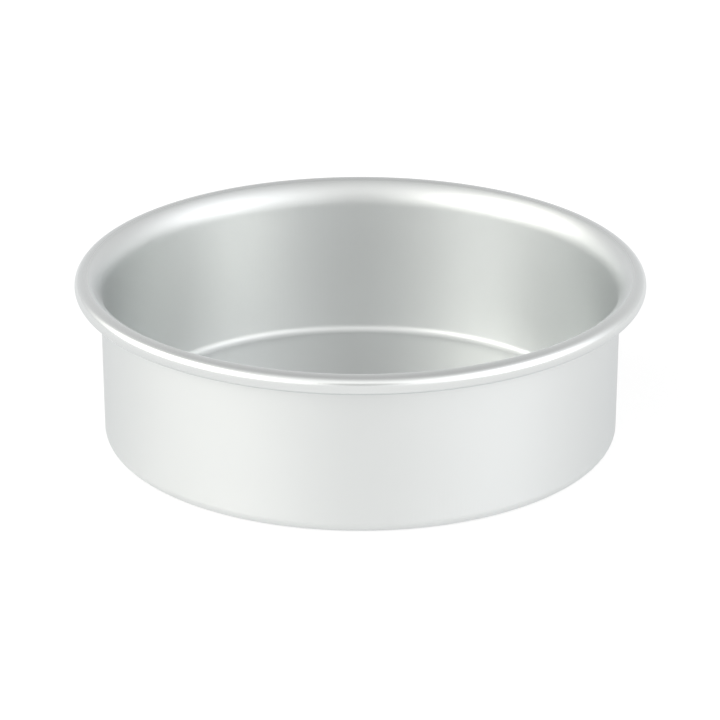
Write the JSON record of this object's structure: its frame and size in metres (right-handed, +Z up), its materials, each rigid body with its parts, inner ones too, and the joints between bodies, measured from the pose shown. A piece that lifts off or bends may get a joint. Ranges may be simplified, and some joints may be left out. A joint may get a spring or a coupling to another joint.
{
  "type": "round cake tin",
  "caption": "Round, straight-sided cake tin drawn from one aluminium sheet, with a rounded floor corner and a flared rim rolled round a wire hoop.",
  "frame": {"origin": "centre of the floor's underside, on the surface that the tin stands on", "axes": "+Z up along the tin's axis, +X to the right and +Y away from the viewer in the picture"},
  "size_m": [0.169, 0.169, 0.0508],
  "materials": {
    "satin_aluminium": "satin anodised, with fine lines round the axis",
    "wire_steel": "drawn, galvanised"
  },
  "bodies": {
    "root": {"tin_shell": "satin_aluminium", "rim_wire": "wire_steel"}
  },
  "joints": []
}
